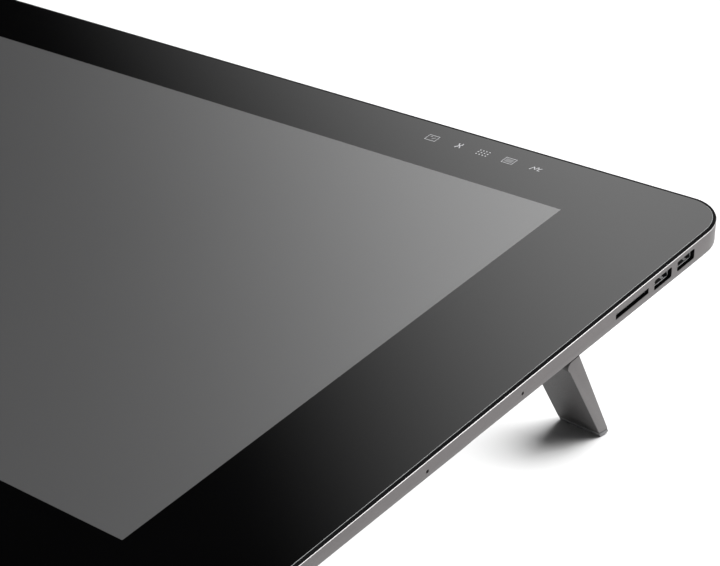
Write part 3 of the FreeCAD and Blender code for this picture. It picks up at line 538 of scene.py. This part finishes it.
def make_frame():
    """The metal frame: polished chamfer, drafted wall, rounded foot and shelf under the glass."""
    chamfer_band = 3
    bm = bmesh.new()
    rings = [
        add_ring(bm, outline(SHELF_INSET), SHELF_TOP),
        add_ring(bm, outline(RIM_OUT), SHELF_TOP),
        add_ring(bm, outline(RIM_OUT), LIP_Z),
        add_ring(bm, outline(CHAMFER), LIP_Z),
        add_ring(bm, outline(0.0), LIP_Z - CHAMFER),
        wall_ring(bm, 0.0, 0.18),
        wall_ring(bm, 0.05, 0.05),
        wall_ring(bm, 0.18, 0.0),
        wall_ring(bm, WALL_T, 0.0),
        add_ring(bm, outline(WALL_T + DRAFT * (LIP_Z - SHELF_BOTTOM)), SHELF_BOTTOM),
        add_ring(bm, outline(SHELF_INSET), SHELF_BOTTOM),
    ]
    for k in range(len(rings)):
        bridge(bm, rings[k], rings[(k + 1) % len(rings)], 1 if k == chamfer_band else 0)
    obj = into_object("frame_rim", bm, ["frame_metal", "frame_polish"])
    tools = []
    for side in (1, -1):
        for k, y in enumerate(USB_Y):
            name = "cut_usb_%d_%d" % (side, k)
            tools.append(wall_cutter(name, side, USB_OPENING, y, PORT_Z))
        for k, y in enumerate(SOCKET_Y):
            name = "cut_socket_%d_%d" % (side, k)
            tools.append(wall_cutter(name, side, SOCKET_OPENING, y, SOCKET_Z))
    tools.append(wall_cutter("cut_card", 1, CARD_OPENING, SD_Y, PORT_Z))
    tools.append(button_cutter())
    cut(obj, tools)
    smooth_shade(obj.data, 30)
    return settle(obj, "tablet", "frame_metal", "side_frame")


def make_leg(side):
    """A leg with a metal outer cheek; every other face takes a darker copy of the finish as painted
    shade.
    """
    leg = soften("leg_" + side, 0.15, "leg_metal")
    leg.data.materials.append(MATERIALS["leg_painted_shade"])
    outward = leg.data.vertices[0].co.x
    # painted shade: faces that do not face outwards take the darker copy
    for face in leg.data.polygons:
        if abs(face.normal.x) < 0.9 or face.normal.x * outward < 0:
            face.material_index = 1
    return leg


# ---- side sockets --------------------------------------------------------------------------------
def add_contacts(bm, y):
    """Four contacts on the tongue of the socket at y, each turned up over the tongue's end."""
    front = PORT_FRONT_X - 2.0
    for k in range(4):
        yc = y - 3.5 + k * 2.333
        box(bm, front - 6.0, front + 0.06, yc - 0.6, yc + 0.6, PORT_Z + 0.02, PORT_Z + 0.1)
        box(bm, front - 0.02, front + 0.06, yc - 0.6, yc + 0.6, PORT_Z + 0.1, PORT_Z + 1.65)


def add_spring(bm, y, z, way):
    """A bent leaf on the shell wall at height z; way is +1 if it bulges upwards."""
    x = PORT_FRONT_X
    spots = [(x - 0.6, z), (x - 3.2, z + way * 0.55), (x - 5.4, z)]
    face, back = ([[bm.verts.new((px, y + s, pz + off)) for px, pz in spots] for s in (-0.9, 0.9)]
                  for off in (0, way * 0.12))
    for i in range(2):
        bm.faces.new((face[0][i], face[0][i + 1], face[1][i + 1], face[1][i]))
        bm.faces.new((back[0][i], back[1][i], back[1][i + 1], back[0][i + 1]))
        for s in (0, 1):
            bm.faces.new((face[s][i], back[s][i], back[s][i + 1], face[s][i + 1]))
    bm.faces.new((face[0][0], face[1][0], back[1][0], back[0][0]))
    bm.faces.new((face[0][2], back[0][2], back[1][2], face[1][2]))


def make_port_details(side):
    """Contacts on the tongue and spring leaves in the shell of each USB socket."""
    matrix = STAND if side > 0 else STAND @ MIRROR
    ending = "right" if side > 0 else "left"
    bm = bmesh.new()
    for y in USB_Y:
        add_contacts(bm, y)
    contacts = into_object("usb_contacts_" + ending, bm, ["gold_contact"], matrix, 0)
    settle(contacts, "tablet", "brass")
    bm = bmesh.new()
    for y in USB_Y:
        for dy in (-3.2, 3.2):
            for way in (1, -1):
                add_spring(bm, y + dy, PORT_Z - way * 2.4, way)
    springs = into_object("usb_springs_" + ending, bm, ["port_shell"], matrix, 0)
    settle(springs, "tablet", "port_shell")


def make_card_contacts():
    """The row of nine contacts deep in the card slot."""
    bm = bmesh.new()
    x = PORT_FRONT_X - 0.2
    for k in range(9):
        yc = SD_Y - 10.0 + k * 2.5
        box(bm, x - 14, x - 8, yc - 0.5, yc + 0.5, PORT_Z + 1.2, PORT_Z + 1.5)
    contacts = into_object("card_contacts", bm, ["gold_contact"], smooth=0)
    settle(contacts, "tablet", "brass")


# ---- finishes on the carried-over parts ----------------------------------------------------------
SLOT_OF = {s["node"]: s["material_slot"] for s in frame["record"]["subparts"]}
# the USB shells take the finish with a painted highlight on the rim and painted shade inside
FINISH = {"cover_glass": "border_glass", "usb_shells_right": "usb_shell",
          "usb_shells_left": "usb_shell"}


def paint_nodes():
    """Give every carried-over node the finish of its slot."""
    for name, node in NODES.items():
        material = MATERIALS[FINISH.get(name, SLOT_OF[name])]
        node.data.materials.clear()
        node.data.materials.append(material)


# ---- studio --------------------------------------------------------------------------------------
def area_light(name, place, aim, size, power, receivers):
    """A square lamp that lights only its receivers."""
    data = bpy.data.lights.new(name, "AREA")
    data.shape = "SQUARE"
    data.size = size
    data.energy = power
    obj = bpy.data.objects.new(name, data)
    bpy.context.scene.collection.objects.link(obj)
    obj.location = place
    obj.rotation_euler = (Vector(aim) - Vector(place)).to_track_quat("-Z", "Y").to_euler()
    obj.visible_camera = False
    obj.light_linking.receiver_collection = receivers
    return obj


def collection_of(name, objects):
    group = bpy.data.collections.new(name)
    for obj in objects:
        group.objects.link(obj)
    return group


def make_lights(floor, leg_skins):
    """A high key light and a low side light on the tablet, and one lamp on the floor."""
    meshes = [o for o in bpy.context.scene.objects if o.type == "MESH" and o is not floor]
    floor_only = collection_of("floor_only", [floor])
    tablet_only = collection_of("tablet_only", meshes)
    sides_only = collection_of("sides_only", [o for o in meshes if o.name != "face_glass"])
    area_light("overhead", place=(0.1, -0.9, 1.9), aim=(0, 0, 0), size=1.2, power=45.0,
               receivers=tablet_only)
    area_light("side_light", place=(1.0, 0.45, 0.42), aim=(0.33, 0.1, 0.04), size=0.5,
               power=2.8, receivers=sides_only)
    floor_light = area_light("floor_light", place=(1.3, 0.3, 4.0), aim=(0.3, 0.08, 0),
                             size=3.2, power=345.0, receivers=floor_only)
    floor_light.light_linking.blocker_collection = collection_of("leg_shadows", leg_skins)


def make_world():
    """A dark studio with one broad white panel behind the tablet, reaching round to the right."""
    world = bpy.data.worlds.new("studio")
    bpy.context.scene.world = world
    world.use_nodes = True
    tree = world.node_tree
    tree.nodes.clear()

    def node(kind, **settings):
        made = tree.nodes.new(kind)
        for key, value in settings.items():
            setattr(made, key, value)
        return made

    def math_node(operation, a, b=None):
        made = node("ShaderNodeMath", operation=operation)
        for index, value in enumerate((a, b)):
            if value is None:
                continue
            if isinstance(value, (int, float)):
                made.inputs[index].default_value = value
            else:
                tree.links.new(value, made.inputs[index])
        return made.outputs[0]

    def smooth(value, start, end):
        made = node("ShaderNodeMapRange", interpolation_type="SMOOTHSTEP")
        tree.links.new(value, made.inputs[0])
        for index, number in enumerate((start, end, 0.0, 1.0), 1):
            made.inputs[index].default_value = number
        return made.outputs[0]

    way = node("ShaderNodeTexCoord").outputs["Generated"]
    split = node("ShaderNodeSeparateXYZ")
    tree.links.new(way, split.inputs[0])
    x, y, z = split.outputs
    bearing = math_node("DEGREES", math_node("ARCTAN2", y, x))
    rise = math_node("DEGREES", math_node("ARCSINE", z))
    left_right = math_node("MULTIPLY", smooth(bearing, *PANEL_LEFT), smooth(bearing, *PANEL_RIGHT))
    low_high = math_node("MULTIPLY", smooth(rise, *PANEL_LOW), smooth(rise, *PANEL_HIGH))
    panel = math_node("MULTIPLY", left_right, low_high)
    level = math_node("MULTIPLY", panel, PANEL_LEVEL)
    level = math_node("ADD", level, AMBIENT)
    background = node("ShaderNodeBackground")
    tree.links.new(level, background.inputs["Strength"])
    output = node("ShaderNodeOutputWorld")
    tree.links.new(background.outputs[0], output.inputs["Surface"])


def make_floor():
    """A round pale floor that curves up a little at its far edge."""
    bm = bmesh.new()
    centre = bm.verts.new((0, 0, 0))
    inner = None
    for reach, height in FLOOR_RINGS:
        ring = [bm.verts.new((reach * math.cos(a), reach * math.sin(a), height))
                for a in (math.tau * k / FLOOR_SIDES for k in range(FLOOR_SIDES))]
        if inner:
            bridge(bm, inner, ring)
        else:
            for k in range(FLOOR_SIDES):
                bm.faces.new((centre, ring[k], ring[(k + 1) % FLOOR_SIDES]))
        inner = ring
    floor = into_object("studio_floor", bm, ["floor_white"], Matrix.Identity(4), 60)
    if floor.data.polygons[0].normal.z < 0:
        floor.data.flip_normals()
    return floor


def make_camera():
    """The photo's view, with its slight roll."""
    data = bpy.data.cameras.new("camera")
    data.lens = CAMERA_LENS
    data.sensor_width = CAMERA_SENSOR
    data.clip_start = 0.02
    camera = bpy.data.objects.new("camera", data)
    bpy.context.scene.collection.objects.link(camera)
    turn = Vector(CAMERA_AHEAD).to_track_quat("-Z", "Y").to_matrix().to_4x4()
    roll = Matrix.Rotation(math.radians(CAMERA_ROLL), 4, "Z")
    camera.matrix_world = Matrix.Translation(CAMERA_PLACE) @ turn @ roll
    bpy.context.scene.camera = camera


# ---- everything together -------------------------------------------------------------------------
make_materials()
paint_nodes()
make_glass()
make_rim()
make_touch_keys()
make_frame()
for side in (1, -1):
    make_port_details(side)
make_card_contacts()
leg_skins = []
for side in ("right", "left"):
    leg_skins.append(make_leg(side))
    leg_skins.append(soften("leg_foot_" + side, 0.2, "rubber"))
soften("back_cover", 0.5, "cover_plastic", 25)
soften("rear_housing", 0.5, "cover_plastic", 25)
soften("mount_plate", 0.3, "plate_steel")
soften("power_button", 0.3, "frame_metal")

floor = make_floor()
make_world()
make_camera()
make_lights(floor, leg_skins)
bpy.context.scene.view_settings.view_transform = "Standard"
